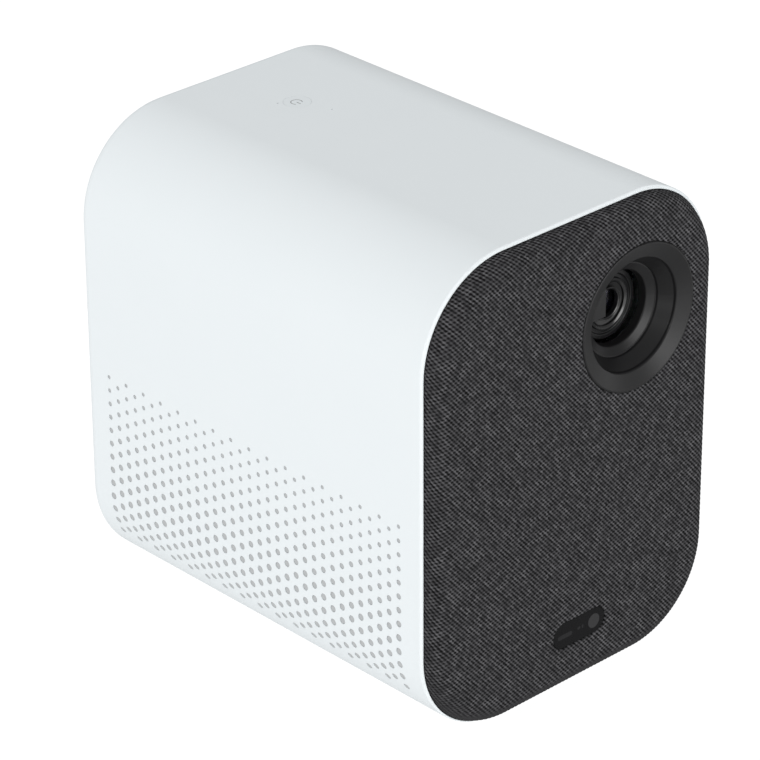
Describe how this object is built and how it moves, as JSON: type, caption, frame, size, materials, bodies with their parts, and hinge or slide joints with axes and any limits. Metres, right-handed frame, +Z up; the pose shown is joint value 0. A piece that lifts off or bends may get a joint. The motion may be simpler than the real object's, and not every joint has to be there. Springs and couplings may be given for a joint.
{
  "type": "home projector",
  "caption": "Compact home projector with a round-cornered white sleeve, side sound and air holes, a fabric front with an offset lens and a sensor window.",
  "frame": {"origin": "centre of the housing's outline on the surface it stands on, under its feet", "axes": "+Z up, -Y out of the fabric front along the projected beam, +X to the right seen from the front"},
  "size_m": [0.115, 0.15, 0.1512],
  "materials": {
    "white_shell": "fine satin",
    "white_cover": "fine satin",
    "button_cap": "fine satin",
    "front_cloth": "woven",
    "black_plastic": "satin",
    "dark_plastic": "satin",
    "lens_plastic": "satin",
    "sensor_glass": "gloss",
    "mesh_grey": "fine mesh",
    "foot_rubber": "matt",
    "lens_glass": "polished",
    "coated_glass": "polished",
    "cast_alloy": "cast",
    "fin_alloy": "rolled",
    "pipe_copper": "drawn",
    "sheet_steel": "brushed",
    "screw_steel": "blackened",
    "socket_steel": "brushed",
    "motor_steel": "brushed",
    "thread_brass": "turned",
    "gear_white": "moulded",
    "gear_black": "moulded",
    "board_green": "solder mask",
    "board_black": "solder mask",
    "chip_ceramic": "polished",
    "coil_black": "moulded",
    "cone_paper": "pressed",
    "surround_rubber": "matt",
    "magnet_iron": "plated",
    "chassis_plastic": "moulded",
    "fan_black": "moulded"
  },
  "bodies": {
    "housing": {"outer_shell": "white_shell", "front_fabric": "front_cloth", "front_baffle": "black_plastic", "lens_shroud": "lens_plastic", "sensor_window": "sensor_glass", "rear_cover": "white_cover", "port_panel": "dark_plastic", "rubber_feet": "foot_rubber", "dust_screens": "mesh_grey", "button_switch": "black_plastic", "button_board": "board_green", "lens_mount": "lens_plastic", "focus_motor": "motor_steel", "motor_bracket": "sheet_steel", "engine_housing": "cast_alloy", "engine_lid": "cast_alloy", "lamp_boards": "board_black", "collimator_lenses": "lens_glass", "dichroic_mirrors": "coated_glass", "prism": "lens_glass", "picture_chip": "chip_ceramic", "chip_board": "board_green", "chip_heatsink": "fin_alloy", "cold_plates": "pipe_copper", "heat_pipes": "pipe_copper", "heatsink_fins": "fin_alloy", "fan_frame": "fan_black", "chassis": "chassis_plastic", "inner_frame": "sheet_steel", "tripod_insert": "thread_brass", "main_board": "board_green", "processor_shield": "socket_steel", "power_board": "board_green", "power_parts": "coil_black", "video_socket": "socket_steel", "data_socket": "socket_steel", "audio_socket": "coil_black", "power_inlet": "coil_black", "focus_camera": "coil_black", "distance_sensor": "coil_black", "sensor_board": "board_green", "screws": "screw_steel", "speaker_box_left": "black_plastic", "speaker_basket_left": "dark_plastic", "speaker_magnet_left": "magnet_iron", "speaker_surround_left": "surround_rubber", "speaker_box_right": "black_plastic", "speaker_basket_right": "dark_plastic", "speaker_magnet_right": "magnet_iron", "speaker_surround_right": "surround_rubber"},
    "button": {"power_button": "button_cap"},
    "fan_rotor": {"fan_impeller": "fan_black"},
    "focus_gear": {"focus_ring": "gear_black"},
    "motor_pinion": {"focus_pinion": "gear_white"},
    "lens_cell": {"focus_barrel": "lens_plastic", "front_lens": "coated_glass", "inner_lenses": "lens_glass"},
    "left_cone": {"speaker_cone_left": "cone_paper"},
    "right_cone": {"speaker_cone_right": "cone_paper"}
  },
  "joints": [
    {"name": "power_button_press", "type": "slide", "parent": "housing", "child": "button", "axis": [0, 0, -1], "range_m": [0, 0.0006], "stiffness_N_per_m": 1500},
    {"name": "fan_spin", "type": "hinge", "parent": "housing", "child": "fan_rotor", "pos_m": [-0.0063, 0.024, 0.046], "axis": [1, 0, 0], "continuous": true},
    {"name": "focus_ring_turn", "type": "hinge", "parent": "housing", "child": "focus_gear", "pos_m": [0.0236, -0.049, 0.1141], "axis": [0, 1, 0], "range_deg": [-53, 53]},
    {"name": "focus_pinion_turn", "type": "hinge", "parent": "housing", "child": "motor_pinion", "pos_m": [-0.00292, -0.049, 0.1141], "axis": [0, 1, 0], "range_deg": [-240, 240]},
    {"name": "lens_focus_travel", "type": "slide", "parent": "housing", "child": "lens_cell", "axis": [0, 1, 0], "range_m": [-0.00176, 0.00176]},
    {"name": "left_cone_travel", "type": "slide", "parent": "housing", "child": "left_cone", "axis": [1, 0, 0], "range_m": [-0.001, 0.001], "stiffness_N_per_m": 900},
    {"name": "right_cone_travel", "type": "slide", "parent": "housing", "child": "right_cone", "axis": [1, 0, 0], "range_m": [-0.001, 0.001], "stiffness_N_per_m": 900}
  ],
  "couplings": [
    {"joint": "focus_ring_turn", "follows": "lens_focus_travel", "rad_per_m": 523.6},
    {"joint": "focus_pinion_turn", "follows": "lens_focus_travel", "rad_per_m": -2356.2}
  ]
}
